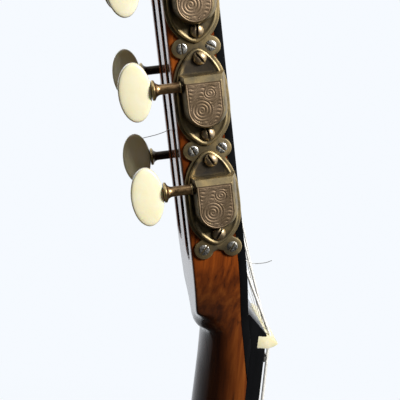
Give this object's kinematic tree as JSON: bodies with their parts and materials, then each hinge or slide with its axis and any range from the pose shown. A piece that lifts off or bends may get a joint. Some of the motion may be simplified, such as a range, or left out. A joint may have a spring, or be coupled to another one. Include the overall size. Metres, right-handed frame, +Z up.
{
  "type": "gypsy jazz guitar",
  "caption": "Steel-string jazz guitar with a slotted headstock, engraved covered worm tuners, zero fret, oval sound hole, cutaway and floating moustache bridge.",
  "frame": {"origin": "on the neck's glue face under the fingerboard, on the centre line, under the zero fret, where the hanger mount is stated", "axes": "+Z up the neck towards the headstock, the strings face -Y, the bass side is -X"},
  "size_m": [0.4, 0.1339, 1.0247],
  "materials": {
    "neck_wood": "glossy lacquer",
    "black_wood": "satin",
    "aged_brass": "aged, engraved covers",
    "fret_steel": "polished",
    "bone": "satin bone",
    "cream_button": "glossy cream",
    "soundboard_spruce": "glossy lacquer",
    "body_rosewood": "glossy lacquer",
    "inner_wood": "bare",
    "wound_string": "wound wire",
    "plain_string": "drawn wire"
  },
  "bodies": {
    "guitar": {"headstock": "neck_wood", "headstock_faceplate": "black_wood", "neck": "neck_wood", "fingerboard": "black_wood", "zero_fret": "fret_steel", "nut": "bone", "tuner_plate_bass": "aged_brass", "tuner_plate_treble": "aged_brass", "tuner_cover_1": "aged_brass", "tuner_cover_2": "aged_brass", "tuner_cover_3": "aged_brass", "tuner_cover_4": "aged_brass", "tuner_cover_5": "aged_brass", "tuner_cover_6": "aged_brass", "soundboard": "soundboard_spruce", "back": "body_rosewood", "rib_bass": "body_rosewood", "rib_treble": "body_rosewood", "neck_block": "inner_wood", "tail_block": "inner_wood", "top_lining_bass": "inner_wood", "top_lining_treble": "inner_wood", "back_lining_bass": "inner_wood", "back_lining_treble": "inner_wood", "bridge": "body_rosewood", "moustache_bass": "body_rosewood", "moustache_treble": "body_rosewood", "tailpiece": "aged_brass", "tailpiece_inlay": "body_rosewood", "end_pin": "black_wood", "string_low_e": "wound_string", "string_a": "wound_string", "string_d": "wound_string", "string_g": "wound_string", "string_b": "plain_string", "string_high_e": "plain_string"},
    "worm_1": {"worm_shaft_1": "aged_brass", "tuner_button_1": "cream_button"},
    "roller_1": {"worm_wheel_1": "aged_brass", "string_roller_1": "aged_brass"},
    "worm_2": {"worm_shaft_2": "aged_brass", "tuner_button_2": "cream_button"},
    "roller_2": {"worm_wheel_2": "aged_brass", "string_roller_2": "aged_brass"},
    "worm_3": {"worm_shaft_3": "aged_brass", "tuner_button_3": "cream_button"},
    "roller_3": {"worm_wheel_3": "aged_brass", "string_roller_3": "aged_brass"},
    "worm_4": {"worm_shaft_4": "aged_brass", "tuner_button_4": "cream_button"},
    "roller_4": {"worm_wheel_4": "aged_brass", "string_roller_4": "aged_brass"},
    "worm_5": {"worm_shaft_5": "aged_brass", "tuner_button_5": "cream_button"},
    "roller_5": {"worm_wheel_5": "aged_brass", "string_roller_5": "aged_brass"},
    "worm_6": {"worm_shaft_6": "aged_brass", "tuner_button_6": "cream_button"},
    "roller_6": {"worm_wheel_6": "aged_brass", "string_roller_6": "aged_brass"}
  },
  "joints": [
    {"name": "worm_turn_1", "type": "hinge", "parent": "guitar", "child": "worm_1", "pos_m": [0.041, 0.0232, 0.0652], "axis": [0, -0.9763, 0.2164], "continuous": true},
    {"name": "roller_turn_1", "type": "hinge", "parent": "guitar", "child": "roller_1", "pos_m": [0.041, 0.02149, 0.05749], "axis": [1, 0, 0], "continuous": true},
    {"name": "worm_turn_2", "type": "hinge", "parent": "guitar", "child": "worm_2", "pos_m": [0.041, 0.03077, 0.09937], "axis": [0, -0.9763, 0.2164], "continuous": true},
    {"name": "roller_turn_2", "type": "hinge", "parent": "guitar", "child": "roller_2", "pos_m": [0.041, 0.02906, 0.09166], "axis": [1, 0, 0], "continuous": true},
    {"name": "worm_turn_3", "type": "hinge", "parent": "guitar", "child": "worm_3", "pos_m": [0.041, 0.03835, 0.13354], "axis": [0, -0.9763, 0.2164], "continuous": true},
    {"name": "roller_turn_3", "type": "hinge", "parent": "guitar", "child": "roller_3", "pos_m": [0.041, 0.03664, 0.12583], "axis": [1, 0, 0], "continuous": true},
    {"name": "worm_turn_4", "type": "hinge", "parent": "guitar", "child": "worm_4", "pos_m": [-0.041, 0.03835, 0.13354], "axis": [0, -0.9763, 0.2164], "continuous": true},
    {"name": "roller_turn_4", "type": "hinge", "parent": "guitar", "child": "roller_4", "pos_m": [-0.041, 0.03664, 0.12583], "axis": [1, 0, 0], "continuous": true},
    {"name": "worm_turn_5", "type": "hinge", "parent": "guitar", "child": "worm_5", "pos_m": [-0.041, 0.03077, 0.09937], "axis": [0, -0.9763, 0.2164], "continuous": true},
    {"name": "roller_turn_5", "type": "hinge", "parent": "guitar", "child": "roller_5", "pos_m": [-0.041, 0.02906, 0.09166], "axis": [1, 0, 0], "continuous": true},
    {"name": "worm_turn_6", "type": "hinge", "parent": "guitar", "child": "worm_6", "pos_m": [-0.041, 0.0232, 0.0652], "axis": [0, -0.9763, 0.2164], "continuous": true},
    {"name": "roller_turn_6", "type": "hinge", "parent": "guitar", "child": "roller_6", "pos_m": [-0.041, 0.02149, 0.05749], "axis": [1, 0, 0], "continuous": true}
  ],
  "couplings": [
    {"joint": "roller_turn_1", "follows": "worm_turn_1", "ratio": -0.066667},
    {"joint": "roller_turn_2", "follows": "worm_turn_2", "ratio": -0.066667},
    {"joint": "roller_turn_3", "follows": "worm_turn_3", "ratio": -0.066667},
    {"joint": "roller_turn_4", "follows": "worm_turn_4", "ratio": -0.066667},
    {"joint": "roller_turn_5", "follows": "worm_turn_5", "ratio": -0.066667},
    {"joint": "roller_turn_6", "follows": "worm_turn_6", "ratio": -0.066667}
  ]
}
